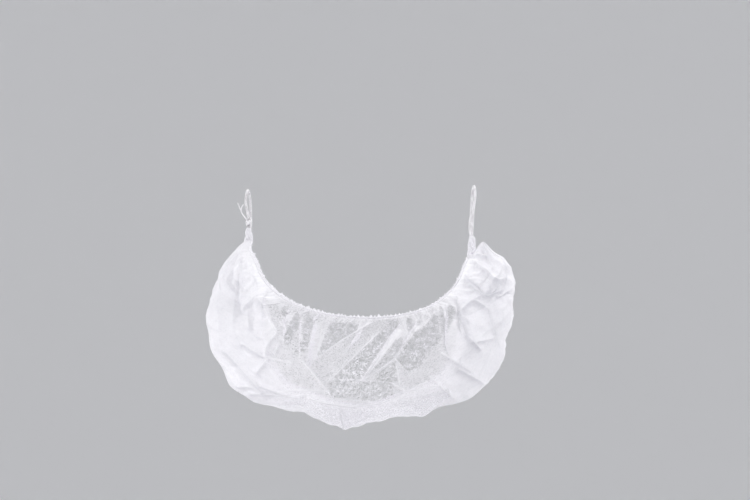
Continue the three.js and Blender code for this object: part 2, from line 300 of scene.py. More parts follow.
# Sharp creases of the front. Columns: start and end in pixels, height in mm (a valley below
# zero), width in mm of each flank.
CREASES = [
    (400, 331, 365, 375, 1.2, 1.8),
    (429, 321, 416, 331, 1.2, 1.4),
    (416, 331, 395, 357, 1.2, 1.4),
    (355, 382, 362, 379, 1.0, 1.4),
    (362, 379, 395, 358, 1.0, 1.4),
    (395, 358, 406, 370, 1.0, 1.4),
    (396, 366, 399, 383, 0.8, 1.2),
    (328, 382, 360, 351, 1.0, 1.8),
    (360, 351, 392, 321, 1.0, 1.8),
    (316, 358, 342, 340, 1.0, 1.6),
    (342, 340, 371, 323, 1.0, 1.6),
    (352, 319, 342, 340, 0.6, 1.0),
    (310, 400, 351, 406, 1.6, 2.4),
    (351, 406, 380, 403, 1.4, 2.4),
    (380, 403, 405, 391, 1.4, 2.4),
    (405, 391, 440, 385, 1.0, 2.2),
    (328, 390, 345, 415, 0.9, 1.6),
    (340, 413, 345, 430, 1.6, 2.2),
    (345, 430, 372, 416, 1.0, 2.2),
    (391, 382, 406, 391, 1.0, 1.6),
    (406, 391, 425, 382, 1.0, 1.6),
    (371, 380, 369, 401, 0.7, 1.2),
    (303, 360, 330, 392, 1.0, 2.2),
    (485, 245, 488, 252, 1.1, 1.4),
    (488, 252, 490, 258, 1.1, 1.4),
    (490, 258, 493, 268, 0.9, 1.4),
    (473, 259, 480, 257, 1.1, 1.4),
    (480, 257, 487, 258, 1.1, 1.4),
    (473, 261, 478, 266, 1.7, 1.8),
    (478, 266, 487, 272, 1.7, 1.8),
    (487, 272, 494, 279, 1.7, 1.8),
    (494, 279, 500, 282, 1.5, 1.8),
    (500, 282, 505, 280, 1.1, 1.6),
    (487, 274, 491, 291, 0.8, 1.4),
    (464, 281, 473, 289, 1.5, 1.6),
    (473, 289, 482, 296, 1.7, 1.6),
    (482, 296, 489, 298, 1.7, 1.6),
    (489, 298, 496, 295, 1.7, 1.6),
    (496, 295, 501, 292, 1.4, 1.6),
    (466, 274, 478, 284, -1.5, 1.4),
    (478, 284, 485, 292, -1.5, 1.4),
    (485, 292, 492, 293, -1.5, 1.4),
    (492, 293, 498, 288, -1.5, 1.4),
    (498, 288, 502, 295, -1.1, 1.4),
    (496, 296, 500, 298, 1.2, 1.6),
    (500, 298, 506, 294, 1.2, 1.6),
    (506, 294, 514, 288, 1.2, 1.6),
    (464, 309, 472, 302, 1.2, 1.6),
    (472, 302, 480, 298, 1.2, 1.6),
    (475, 302, 482, 306, 1.5, 1.8),
    (482, 306, 488, 311, 1.5, 1.8),
    (488, 311, 490, 322, 1.5, 1.8),
    (490, 322, 497, 336, 1.5, 1.8),
    (497, 336, 501, 345, 1.3, 1.8),
    (494, 298, 499, 310, 0.8, 2.2),
    (499, 310, 504, 325, 0.8, 2.2),
    (456, 313, 468, 321, 1.0, 1.6),
    (458, 316, 462, 325, 1.2, 1.6),
    (462, 325, 466, 336, 1.3, 1.8),
    (466, 336, 479, 349, 1.4, 2.0),
    (478, 342, 493, 339, 1.1, 1.6),
    (458, 369, 482, 383, 1.4, 2.2),
    (440, 352, 470, 372, 1.0, 2.0),
    (429, 376, 452, 397, 1.1, 2.0),
    (238, 262, 233, 322, 0.5, 3.4),
    (250, 262, 252, 312, -0.4, 3.6),
    (257, 300, 268, 318, 1.2, 1.8),
    (268, 318, 277, 334, 1.3, 1.8),
    (277, 334, 270, 341, 1.0, 1.4),
    (270, 341, 267, 348, 1.0, 1.4),
    (267, 348, 266, 357, 1.1, 1.6),
    (279, 344, 275, 354, 0.8, 1.2),
    (275, 354, 271, 350, 0.8, 1.2),
    (279, 321, 285, 328, -0.8, 0.9),
    (266, 357, 292, 362, 1.3, 2.0),
    (270, 357, 258, 372, 1.2, 2.4),
    (262, 386, 300, 400, 1.4, 2.6),
    (240, 386, 275, 391, 0.9, 1.4),
    (250, 394, 318, 397, 0.9, 1.4),
    (275, 391, 330, 390, 0.8, 1.4),
    (243, 345, 262, 356, 1.0, 1.6),
    (262, 356, 266, 357, 1.0, 1.6),
    (239, 266, 240, 297, 0.5, 1.8),
    (240, 297, 253, 281, 0.6, 1.4),
    (254, 297, 243, 309, 0.9, 1.2),
    (247, 313, 249, 329, 0.6, 1.6),
    (249, 329, 259, 338, 0.8, 1.4),
    (226, 352, 262, 392, 1.2, 3.0),
    (219, 300, 222, 352, 0.35, 3.0),
]

# Patches of the front by how thick the cloth lies there, 1 for a layer that hides most of what
# is behind it, as outlines in pixels
PATCHES = [
    (0.6, [(371, 323), (382, 319), (393, 320), (360, 351), (328, 382), (315, 374), (316, 358),
            (342, 341)]),
    (0.76, [(313, 316), (324, 317), (331, 322), (325, 337), (319, 351), (316, 358), (307, 360),
            (309, 343), (312, 328)]),
    (0.18, [(331, 323), (351, 323), (358, 324), (357, 331), (342, 340), (316, 358), (320, 351),
           (325, 337)]),
    (0.1, [(393, 320), (397, 319), (398, 329), (389, 336), (380, 349), (371, 362), (364, 374),
            (358, 378), (348, 382), (328, 382)]),
    (0.35, [(328, 382), (358, 381), (392, 382), (393, 398), (372, 400), (331, 397)]),
    (0.31, [(402, 343), (406, 342), (395, 357), (377, 370), (366, 376), (377, 364), (387, 351),
            (396, 340)]),
    (0.31, [(395, 361), (398, 382), (374, 380), (380, 370)]),
    (0.82, [(397, 327), (405, 324), (407, 331), (396, 340), (387, 351), (377, 364), (364, 376),
            (369, 366), (379, 351), (388, 337)]),
    (0.18, [(395, 342), (402, 337), (402, 343), (397, 348)]),
    (0.15, [(407, 318), (411, 318), (411, 329), (408, 331)]),
    (0.13, [(434, 315), (438, 317), (439, 330), (441, 337), (438, 343), (425, 355), (423, 362),
           (410, 370), (405, 370), (396, 359), (406, 343), (416, 332), (425, 328), (430, 321)]),
    (0.33, [(440, 306), (443, 309), (445, 318), (445, 332), (442, 338), (441, 325)]),
    (0.35, [(449, 304), (455, 308), (456, 314), (452, 322), (448, 329), (446, 334), (446, 318)]),
    (0.28, [(284, 306), (286, 314), (284, 322), (283, 318), (281, 312)]),
    (0.19, [(297, 311), (299, 318), (298, 325), (293, 338), (289, 345), (285, 344), (284, 338),
            (286, 332), (293, 318)]),
    (0.55, [(289, 345), (293, 338), (297, 329), (300, 335), (298, 345), (293, 350)]),
    (0.23, [(304, 318), (307, 317), (313, 317), (312, 325), (311, 331), (306, 325)]),
    (0.19, [(304, 324), (306, 326), (310, 331), (308, 344), (307, 351), (302, 352), (294, 354),
            (298, 348), (303, 341)]),
    (0.6, [(267, 305), (277, 304), (283, 322), (284, 328), (279, 333), (272, 322)]),
    (0.35, [(361, 409), (388, 407), (384, 413), (366, 414)]),
    (0.5, [(300, 402), (318, 405), (340, 417), (343, 428), (322, 419), (300, 410)]),
    (0.5, [(384, 411), (412, 399), (448, 388), (450, 398), (420, 412), (395, 416)]),
]

# Painted shade on the lobes, where their cloth lies double against the light, 0 to 1, as outlines in
# pixels
PAINTED_SHADE_PATCHES = [
    (0.5, [(466, 274), (478, 284), (485, 292), (492, 293), (498, 288), (501, 292), (496, 296),
            (489, 298), (481, 295), (473, 289), (464, 281)]),
    (0.2, [(500, 282), (516, 285), (514, 300), (505, 297), (498, 288)]),
    (0.25, [(456, 313), (464, 309), (468, 321), (479, 349), (470, 356), (462, 330)]),
    (0.16, [(488, 311), (496, 300), (504, 325), (503, 345), (497, 336), (490, 322)]),
    (0.16, [(277, 334), (285, 345), (280, 356), (292, 362), (266, 357), (267, 347)]),
    (0.16, [(238, 340), (262, 352), (270, 372), (262, 392), (240, 378), (226, 352)]),
    (0.2, [(262, 386), (300, 398), (330, 405), (300, 409), (262, 402)]),
    (0.16, [(462, 352), (482, 350), (492, 372), (470, 392), (450, 380)]),
]

# Where the photograph's outline lies beside the smooth cloth's. Columns: place in pixels, reach
# in mm, and how far the cloth is drawn to the right and down, in pixels.
OUTLINE_PULLS = [
    (210, 275, 12, -5.5, 0),
    (207, 308, 14, -4, 0),
    (209, 342, 12, -3.5, 0),
    (230, 387, 8, -2.5, 2),
    (304, 409, 9, 0, -4),
    (345, 430, 2.5, 0, 1.5),
    (354, 428, 5, 0, -2),
    (371, 424, 8, 0, -3),
    (398, 421, 8, 0, -3),
    (424, 414, 5, 0, 4),
    (484, 245, 7, -1, -5),
    (503, 261, 5, 1.5, -1.5),
    (515, 285, 6, 2, -1),
    (512, 296, 4, 2, 0),
    (516, 308, 5, -3, 0),
    (509, 342, 8, -4.5, 0),
]


def patch_share(outline, x, z, soft):
    """How far a point lies inside an outline, 0 to 1, with an edge as wide as soft."""
    corners = [px(*p) for p in outline]
    inside = np.zeros(x.shape, bool)
    near = np.full(x.shape, 1e9)
    for (ax, az), (bx, bz) in zip(corners, corners[1:] + corners[:1]):
        dx, dz = bx - ax, bz - az
        t = np.clip(((x - ax) * dx + (z - az) * dz) / (dx * dx + dz * dz), 0, 1)
        near = np.minimum(near, np.hypot(x - ax - t * dx, z - az - t * dz))
        crosses = (az > z) != (bz > z)
        level_x = ax + (z - az) / (dz if dz else 1e-9) * dx
        inside ^= crosses & (x < level_x)
    return smoothstep(np.where(inside, near, -near), -soft, soft)


def segment(x, z, row):
    """Share along a line of the photograph, distance past its ends and signed distance beside it."""
    (ax, az), (bx, bz) = px(row[0], row[1]), px(row[2], row[3])
    dx, dz = bx - ax, bz - az
    length = math.hypot(dx, dz)
    t = ((x - ax) * dx + (z - az) * dz) / length**2
    beside = ((x - ax) * dz - (z - az) * dx) / length
    past = np.maximum(np.maximum(-t, t - 1), 0) * length
    return np.clip(t, 0, 1), past, beside, (dz / length, -dx / length)


FRONT_ROUGHNESS = 0.3  # the front's crumples, as a share of the lobes'
CLOTH_SPAN = 340  # length of the even cloth that the crumples are laid out on

# Crumpled facets. Columns: height and size in mm, seed, turn and stretch.
LARGE_CRUMPLES = ((3.4, 21, 0, 0.5, 1.6), (1.4, 10, 10, -0.7, 1.8))
SMALL_CRUMPLES = ((0.45, 5, 20, 1.1, 1.7), (0.18, 2.4, 30, 0.2, 1.6))
# Slivers where crumpled cloth lies double. Columns: how much thicker, and the rest as above.
DOUBLINGS = ((0.2, 25, 60, 0.9, 2.4), (0.14, 13, 70, -0.5, 2.6), (0.12, 17, 80, 0.1, 3.0))
# Folds that fan out from the gathered ends. Columns: height in mm, folds across the cloth, how far
# noise shifts them, its cells across, its length in mm and seed.
FANS = ((3.6, 7, 0.5, 4, 30, 50), (0.8, 17, 0.8, 7, 18, 51))
# Wide swells: height and size in mm, and seed
SWELL = (1.5, 38, 40)

# How thick the cloth lies, where 1 hides what is behind it, and what thickens or thins it
FRONT_THICKNESS = 0.6
LOBE_THICKER = 0.28
BEND_THICKER = 0.3
HEM_FOLD_THICKER = 0.32
CREASE_THICKER = 0.5
BOTTOM_THINNER = 0.1
UPPER_THINNER = 0.14
HEM_BAND = 0.78
MOST_THICKNESS = 1.1

# How much painted shade greys the cloth, 0 to 1
BEND_SHADE = 0.25
DOUBLED_SHADE = 0.6
FLANK_SHADE = 0.36
BOTTOM_SHADE = 0.3
RELIEF_SHADE = 0.5
RELIEF_MOST = 0.6
RELIEF_LIGHT = (-0.5, -0.3, 0.8)  # faces that turn away from it are the greyer ones

# The front's outlined patches: width of their edges, and how far back they reach, in mm
PATCH_EDGE = 0.6
PATCH_BACK = 60
PAINTED_SHADE_BACK = 75
PATCH_MOTTLE = 0.25  # how much of the cloth's own unevenness they keep
PATCH_LEVEL = 0.7  # the thickness that it is measured from

# How the small folds lean as they leave the face hem. Columns: place in pixels, and run to the
# right for each mm down.
PLEAT_LEAN = ((255, 290, 330, 380, 425, 450, 480), (0.1, -0.25, -0.45, -0.75, -0.55, 0.0, 0.2))
# Small folds at the two hems. Columns: seed, how many, longest in mm, and the hem's place in the
# grid.
HEM_FOLDS = ((101, 150, 30, 0), (202, 120, 26, -1))
LONG_FOLDS = 0.3  # share of them that reach far in
LONG_REACH = (0.45, 1)
SHORT_REACH = (0.12, 0.4)
FOLD_WIDTH = (0.8, 1.9)
FOLD_STRENGTH = (0.7, 1.5)
FOLD_WANDER = 0.22
FRONTAL_REACH = 62  # they get shorter past this far from the middle


def hem_pleats(run, depth, hem_x, seed, count, longest):
    """Small folds that run in from a hem and double over: a shift along it, a rise in mm, and
    how much thicker they make the cloth look."""
    rng = np.random.default_rng(seed)
    shift = np.zeros(run.shape)
    rise = np.zeros(run.shape)
    thick = np.zeros(run.shape)
    edge = run[:, 0]
    middles = (np.arange(count) + rng.uniform(-0.45, 0.45, count)) * edge[-1] / count
    for middle in middles:
        here_x = np.interp(middle, edge, hem_x)
        frontal = math.exp(-((here_x / FRONTAL_REACH) ** 4))
        reach_share = rng.uniform(*(LONG_REACH if rng.random() < LONG_FOLDS else SHORT_REACH))
        reach_in = 3 + reach_share * longest * (0.35 + 0.65 * frontal)
        width = rng.uniform(*FOLD_WIDTH) * (1.3 - 0.3 * frontal)
        lean = np.interp(here_x / PIXEL + ORIGIN_PIXEL[0], *PLEAT_LEAN) * frontal
        lean += rng.uniform(-FOLD_WANDER, FOLD_WANDER)
        strength = rng.uniform(*FOLD_STRENGTH) * (0.4 + 0.6 * frontal)
        beside = run - middle - lean * depth * (1 - 0.3 * depth / longest)
        near = (np.abs(beside) < 9) & (depth < reach_in * 1.6)
        d = depth[near]
        here = width * (0.8 + 1.0 * d / longest)
        fade = smoothstep(reach_in * 1.25 - d, 0, reach_in * 0.8)
        s = beside[near]
        bell = np.exp(-((s / here) ** 2))
        shift[near] -= strength * fade * s * bell
        rise[near] += fade * here * (0.4 * bell - 0.1 * np.tanh(2.5 * s / here) * bell)
        thick[near] = np.maximum(thick[near], fade * bell)
    return shift, rise, thick


def sharpness(height, run, width):
    """How sharply a height bends at each point of the grid, per mm."""
    du = np.gradient(run, axis=0)
    dv = np.maximum(np.gradient(width, axis=1), 1e-3)
    hu = np.gradient(height, axis=0) / du
    hv = np.gradient(height, axis=1) / dv
    huu = np.gradient(hu, axis=0) / du
    hvv = np.gradient(hv, axis=1) / dv
    huv = np.gradient(hu, axis=1) / dv
    return np.sqrt(huu**2 + hvv**2 + 2 * huv**2)


class Cloth:
    """The smooth pouch on its grid, and the measures in mm that its folds are worked out from."""

    def __init__(self):
        self.u_share = grid_shares(SECTIONS, SECTION_PLACES)
        self.smooth = smooth_pouch(self.u_share, grid_shares(ACROSS, ACROSS_PLACES))
        self.normal = normals_of(self.smooth)
        along = np.gradient(self.smooth, axis=0)
        self.along = along / np.linalg.norm(along, axis=2, keepdims=True)
        step_u = np.linalg.norm(np.diff(self.smooth, axis=0), axis=2)
        step_v = np.linalg.norm(np.diff(self.smooth, axis=1), axis=2)
        self.run = np.concatenate([np.zeros((1, ACROSS + 1)), np.cumsum(step_u, axis=0)])
        self.width = np.concatenate([np.zeros((SECTIONS + 1, 1)), np.cumsum(step_v, axis=1)], axis=1)
        self.depth_neck = self.width[:, -1:] - self.width
        self.from_end = np.minimum(self.run, self.run[-1:] - self.run)
        # an even cloth, for crumples that don't stretch
        self.flat_u = (self.u_share[:, None] - 0.5) * CLOTH_SPAN + 0 * self.width
        # shares of 0 to 1 that fade the folds in and out
        self.off_ring = smoothstep(self.from_end, 3, 30)
        self.off_hem = smoothstep(np.minimum(self.width, self.depth_neck), 1, 12)
        self.front = smoothstep(-self.normal[..., 1], 0.1, 0.45)
        self.side = smoothstep(np.abs(self.smooth[..., 0]), 46, 74)
        lobes = np.maximum(self.side, 1 - self.front)
        self.rough = FRONT_ROUGHNESS + (1 - FRONT_ROUGHNESS) * lobes

    def total(self, shape, rows):
        """The sum of crumples or doublings, each times its first column."""
        return sum(
            most * shape(self.flat_u, self.width, size, SEED + seed, turn, stretch)
            for most, size, seed, turn, stretch in rows
        )


def fan_folds(cloth):
    """Folds that fan out from the gathered ends, in mm."""
    share_v = cloth.width / cloth.width[:, -1:]
    fade = smoothstep(cloth.from_end, 2, 14) * (1 - smoothstep(cloth.from_end, 25, 85))
    fade = fade * smoothstep(cloth.from_end, 0, 50)
    waves = 0
    for height, folds, bend, cells, size, seed in FANS:
        shift = bend * noise2(share_v * cells, cloth.from_end / size, SEED + seed)
        waves = waves + height * (ridge(share_v * folds + shift) - 0.5)
    return fade * waves


def crumpled(cloth):
    """The pouch with its crumples, how thick its cloth looks with them, and the painted shade they
    get.
    """
    loose = cloth.rough * cloth.off_hem
    large = loose * cloth.off_ring * cloth.total(crumple, LARGE_CRUMPLES) + fan_folds(cloth)
    small = loose * smoothstep(cloth.from_end, 20, 60) * cloth.total(crumple, SMALL_CRUMPLES)
    swell_height, swell_size, swell_seed = SWELL
    swell = noise2(cloth.flat_u / swell_size, cloth.width / swell_size, SEED + swell_seed)
    swell = swell_height * cloth.off_hem * cloth.off_ring * swell
    bent = smoothstep(sharpness(large, cloth.run, cloth.width), 0.12, 0.6)
    bent = bent * smoothstep(cloth.from_end, 15, 60)
    doubled = loose * cloth.total(overlap, DOUBLINGS)
    points = cloth.smooth + cloth.normal * (large + small + swell)[..., None]
    density = FRONT_THICKNESS + LOBE_THICKER * np.maximum(cloth.side, 1 - cloth.front)
    density = density + BEND_THICKER * bent * (1 - 0.9 * cloth.side)
    density = density + doubled * (1 - 0.7 * cloth.side)
    # painted shade on the lobes' bends and where their cloth lies double
    shade = cloth.side * (BEND_SHADE * bent + DOUBLED_SHADE * doubled)
    return points, density, shade


def add_hem_folds(cloth, points, density):
    """Small folds at both hems. Moves the points and gives the new thickness."""
    for seed, count, longest, column in HEM_FOLDS:
        depth = cloth.width if column == 0 else cloth.depth_neck
        edge = cloth.run[:, column][:, None] * np.ones_like(cloth.run)
        hem_x = cloth.smooth[:, column, 0]
        shift, lift, thick = hem_pleats(edge, depth, hem_x, seed, count, longest)
        fade = cloth.off_ring * smoothstep(depth, 0, 1.5)
        points += cloth.along * (shift * fade)[..., None] + cloth.normal * (lift * fade)[..., None]
        density = density + HEM_FOLD_THICKER * thick * fade
    return density


def sideways(cloth, dx, dz):
    """A move within the cloth that the front view shows as dx and dz."""
    facing = np.minimum(cloth.normal[..., 1], -0.25)
    dy = -(cloth.normal[..., 0] * dx + cloth.normal[..., 2] * dz) / facing
    return np.stack([dx, dy, dz], axis=2)


def add_fold_overs(cloth, points):
    """Draws the front's broad folds over themselves."""
    x = cloth.smooth[..., 0]
    z = cloth.smooth[..., 2]
    for *line, wide_from, wide_to, doubling, lift_most in FOLD_OVERS:
        t, past, beside, (sx, sz) = segment(x, z, line)
        wide = wide_from + (wide_to - wide_from) * t
        fade = cloth.front * smoothstep(cloth.width, 1, 14) * np.exp(-((past / 6) ** 2))
        bell = np.exp(-((beside / wide) ** 2))
        push = -doubling * beside * bell * fade
        step = np.tanh(2.5 * beside / wide) * np.exp(-((beside / wide / 1.8) ** 2))
        lift = lift_most * fade * (0.6 * bell - step)
        points += sideways(cloth, push * sx, push * sz) + cloth.normal * lift[..., None]


# Sharp creases, in mm
CREASE_RISE = 1.5  # times the table's heights
LINE_WIDTH = 0.55
FLANK_WIDTH = 2.4
LIT_FLANK_WIDTH = 0.45
MOST_FLANK = 1.4  # height from which a flank gets no greyer


def add_creases(cloth, points, x, z):
    """Sharp creases of the front. Gives how much of a line and of a flank with painted shade is
    where.
    """
    ridges = np.zeros(x.shape)
    valleys = np.zeros(x.shape)
    lines = np.zeros(x.shape)
    flanks = np.zeros(x.shape)
    for *line, rise, flank in CREASES:
        _, past, beside, (sx, sz) = segment(x, z, line)
        away = np.sqrt(beside**2 + past**2 + 0.04)
        height = rise * np.exp(-away / flank)
        ridges = np.maximum(ridges, height)
        valleys = np.minimum(valleys, height)
        lines = np.maximum(lines, abs(rise) * np.exp(-((away / LINE_WIDTH) ** 2)))
        # the flank that faces down and to the right gets painted shade
        under = beside * (0.5 * sx - 0.85 * sz) > 0
        shaded = np.exp(-away / FLANK_WIDTH)
        lit = np.exp(-((away / LIT_FLANK_WIDTH) ** 2))
        flanks = np.maximum(flanks, min(abs(rise), MOST_FLANK) * np.where(under, shaded, lit))
    shown = cloth.front * smoothstep(cloth.width, 1, 6)
    points += cloth.normal * (CREASE_RISE * (ridges + valleys) * shown)[..., None]
    return lines * shown, flanks * shown


def add_patches(cloth, density, shade, x, z):
    """The front's outlined patches, in the cloth's thickness and in its painted shade."""
    y = cloth.smooth[..., 1]
    for share, outline in PATCHES:
        inside = patch_share(outline, x, z, PATCH_EDGE) * cloth.front * (y < PATCH_BACK)
        density = density + (share + PATCH_MOTTLE * (density - PATCH_LEVEL) - density) * inside
    for share, outline in PAINTED_SHADE_PATCHES:
        # painted shade, kept to the cloth in front
        inside = patch_share(outline, x, z, PATCH_EDGE) * cloth.front * (y < PAINTED_SHADE_BACK)
        shade = np.maximum(shade, share * inside)
    return density, shade


def draw_outline(cloth, points):
    """Draws the cloth's edge to where the photograph has it."""
    for at_x, at_y, size, right, down in OUTLINE_PULLS:
        pull_x, pull_z = px(at_x, at_y)
        away = (points[..., 0] - pull_x) ** 2 + (points[..., 2] - pull_z) ** 2
        near = np.exp(-away / size**2) * smoothstep(cloth.from_end, 1, 8)
        points[..., 0] += PIXEL * right * near
        points[..., 2] -= PIXEL * down * near


def pouch_points(cloth):
    """The crumpled pouch, how thick its cloth looks and how much painted shade it gets, at each
    point.
    """
    points, density, shade = crumpled(cloth)
    density = add_hem_folds(cloth, points, density)
    add_fold_overs(cloth, points)
    x = points[..., 0].copy()
    z = points[..., 2].copy()
    lines, flanks = add_creases(cloth, points, x, z)
    density, shade = add_patches(cloth, density, shade, x, z)
    density = density + CREASE_THICKER * lines * (1 - 0.6 * cloth.side)
    # painted shade on the lobes' crease flanks
    shade = shade + FLANK_SHADE * flanks * cloth.side
    # painted shade on lobe facets that turn away from RELIEF_LIGHT
    relief = (normals_of(points) - cloth.normal) @ np.array(RELIEF_LIGHT)
    shade = shade + RELIEF_SHADE * cloth.side * np.clip(-relief, 0, RELIEF_MOST) * cloth.off_hem
    # the bottom, thinner and with painted shade, and the zone just below the face hem
    low = cloth.front * (1 - smoothstep(z, -66, -54))
    density = density - BOTTOM_THINNER * low * (1 - cloth.side)
    shade = shade + BOTTOM_SHADE * low
    upper = smoothstep(cloth.width, 1, 3) * (1 - smoothstep(cloth.width, 9, 20))
    density = density - UPPER_THINNER * upper * cloth.front * (1 - cloth.side)
    density = np.maximum(density, HEM_BAND * (1 - smoothstep(cloth.width, 1, 3)))
    draw_outline(cloth, points)
    return points, np.clip(density, 0, MOST_THICKNESS), np.clip(shade, 0, 1)


def in_scene(name, data):
    """A new object in the scene."""
    thing = bpy.data.objects.new(name, data)
    scene.collection.objects.link(thing)
    return thing


def mesh_object(name, points, faces, material):
    """A mesh from points in mm, carried by the net and finished from one slot."""
    mesh = bpy.data.meshes.new(name)
    mesh.from_pydata((np.asarray(points) * MM).tolist(), [], [tuple(f) for f in faces])
    mesh.validate()
    mesh.shade_smooth()
    mesh.materials.append(material)
    piece = in_scene(name, mesh)
    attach(piece, "root")
    return piece


def grid_faces(rows, columns, wrap=False):
    """The quads of a grid of points. With wrap, its last column meets its first."""
    last = columns if wrap else columns - 1
    i, j = np.meshgrid(np.arange(rows - 1), np.arange(last), indexing="ij")
    nxt = (j + 1) % columns
    quads = [i * columns + j, i * columns + nxt, (i + 1) * columns + nxt, (i + 1) * columns + j]
    return np.stack(quads, axis=-1).reshape(-1, 4).tolist()


def tangents(path):
    """Unit vectors along a path, at each of its points."""
    tangent = np.gradient(path, axis=0)
    return tangent / np.linalg.norm(tangent, axis=1, keepdims=True)


def transport(path):
    """Two unit vectors across a path at each of its points, turned as little as they can be."""
    tangent = tangents(path)
    side = np.cross(tangent[0], [0.3, 1, 0.2])
    side /= np.linalg.norm(side)
    sides = [side]
    for t in tangent[1:]:
        side = side - t * side.dot(t)
        side /= np.linalg.norm(side)
        sides.append(side)
    sides = np.array(sides)
    return sides, np.cross(tangent, sides)


def tube(path, radius, sides):
    """Points and faces of a closed tube. radius holds one number for each point and side."""
    a, b = transport(path)
    turn = np.linspace(0, 2 * math.pi, sides, endpoint=False)
    r = np.broadcast_to(np.asarray(radius, float), (len(path), sides))
    ring_points = (
        path[:, None]
        + a[:, None] * (r * np.cos(turn))[..., None]
        + b[:, None] * (r * np.sin(turn))[..., None]
    )
    faces = grid_faces(len(path), sides, wrap=True)
    faces.append(list(range(sides))[::-1])
    faces.append([(len(path) - 1) * sides + k for k in range(sides)])
    return ring_points.reshape(-1, 3), faces


def joined(parts):
    """One list of points and faces from several."""
    points = []
    faces = []
    base = 0
    for p, f in parts:
        points.append(np.asarray(p))
        faces += [[base + k for k in face] for face in f]
        base += len(p)
    return np.vstack(points), faces


def smooth_path(points, step):
    """A centripetal curve through points, cut into even steps of about one length in mm."""
    fine = centripetal(points, np.linspace(0, 1, PATH_CUTS))
    length = np.linalg.norm(np.diff(fine, axis=0), axis=1).sum()
    return evenly(fine, np.linspace(0, 1, max(int(length / step), 4) + 1)), length


def add_uv(piece, coordinates):
    """One UV map from a pair of metres for each vertex."""
    mesh = piece.data
    layer = mesh.uv_layers.new(name="cloth")
    corner = np.empty(len(mesh.loops), dtype=np.int32)
    mesh.loops.foreach_get("vertex_index", corner)
    layer.data.foreach_set("uv", np.asarray(coordinates, np.float32)[corner].ravel())


UV_SLANT = 0.6


def slanted_uv(points):
    """UV in metres for a hem or a gathered end, from the front and somewhat from the side."""
    return np.stack([points[:, 0] + points[:, 1] * UV_SLANT, points[:, 2]], axis=1) * MM


def add_values(piece, name, values):
    """A number for each vertex, for the materials to read."""
    layer = piece.data.attributes.new(name, "FLOAT", "POINT")
    layer.data.foreach_set("value", values.ravel().astype(np.float32))


# Materials
CLOTH_WHITE = (0.93, 0.92, 0.95, 1)
# the grey of the painted shade in the folds, and of the web's own mottle
CLOTH_SHADE_AND_MOTTLE_GREY = (0.6, 0.595, 0.64, 1)
BUNCHED_WHITE = (0.92, 0.91, 0.945, 1)
GLOW_WHITE = (0.9, 0.885, 0.93, 1)
CORD_WHITE = (0.95, 0.94, 0.96, 1)
# the grey of the painted shade between the cord's plies, and of its mottle
CORD_SHADE_AND_MOTTLE_GREY = (0.55, 0.53, 0.55, 1)


class Nodes:
    """A new material's nodes."""

    def __init__(self, name):
        self.material = bpy.data.materials.new(name)
        self.material.use_nodes = True
        self.tree = self.material.node_tree
        self.tree.nodes.clear()

    def add(self, kind, **values):
        node = self.tree.nodes.new(kind)
        for key, value in values.items():
            if hasattr(node, key):
                setattr(node, key, value)
            else:
                node.inputs[key.replace("_", " ")].default_value = value
        return node

    def link(self, source, target):
        self.tree.links.new(source, target)

    def shader(self, colour, **values):
        return self.add("ShaderNodeBsdfPrincipled", Base_Color=colour, **values)

    def value(self, name):
        """A number that the mesh holds for each vertex."""
        return self.add("ShaderNodeAttribute", attribute_name=name).outputs["Fac"]

    def math(self, operation, a, b=None, clamp=False):
        node = self.add("ShaderNodeMath", operation=operation, use_clamp=clamp)
        for socket, value in zip(node.inputs, (a, b)):
            if value is None:
                continue
            if isinstance(value, (int, float)):
                socket.default_value = value
            else:
                self.link(value, socket)
        return node.outputs[0]

    def noise(self, vector, scale, detail=2.0, roughness=0.5):
        node = self.add("ShaderNodeTexNoise", Scale=scale, Detail=detail, Roughness=roughness)
        self.link(vector, node.inputs["Vector"])
        return node.outputs["Fac"]

    def stretched(self, vector, turn, scale):
        sizes = [1 / share for share in scale]
        turned = (0, 0, turn)
        node = self.add("ShaderNodeMapping", vector_type="TEXTURE", Rotation=turned, Scale=sizes)
        self.link(vector, node.inputs["Vector"])
        return node.outputs[0]

    def ramp(self, value, low, high):
        kind = "ShaderNodeMapRange"
        node = self.add(kind, interpolation_type="SMOOTHSTEP", From_Min=low, From_Max=high)
        self.link(value, node.inputs["Value"])
        return node.outputs[0]

    def blend(self, share, first, second):
        """A colour between two, the second where the share is 1."""
        node = self.add("ShaderNodeMix", data_type="RGBA")
        node.inputs[6].default_value = first
        node.inputs[7].default_value = second
        self.link(share, node.inputs[0])
        return node.outputs[2]

    def bump(self, height, shaders, **values):
        """Low relief on some shaders."""
        node = self.add("ShaderNodeBump", **values)
        self.link(height, node.inputs["Height"])
        for shader in shaders:
            self.link(node.outputs[0], shader.inputs["Normal"])

    def finish(self, shader):
        """Gives the material its surface."""
        out = self.add("ShaderNodeOutputMaterial")
        self.link(shader.outputs[0], out.inputs["Surface"])
        return self.material


# Fibres curl along the level lines of stretched noises. Columns: turn, and cells to the metre
# across and along it.
FIBRE_RUNS = ((0.3, 740, 380), (1.4, 820, 420), (2.4, 680, 350))


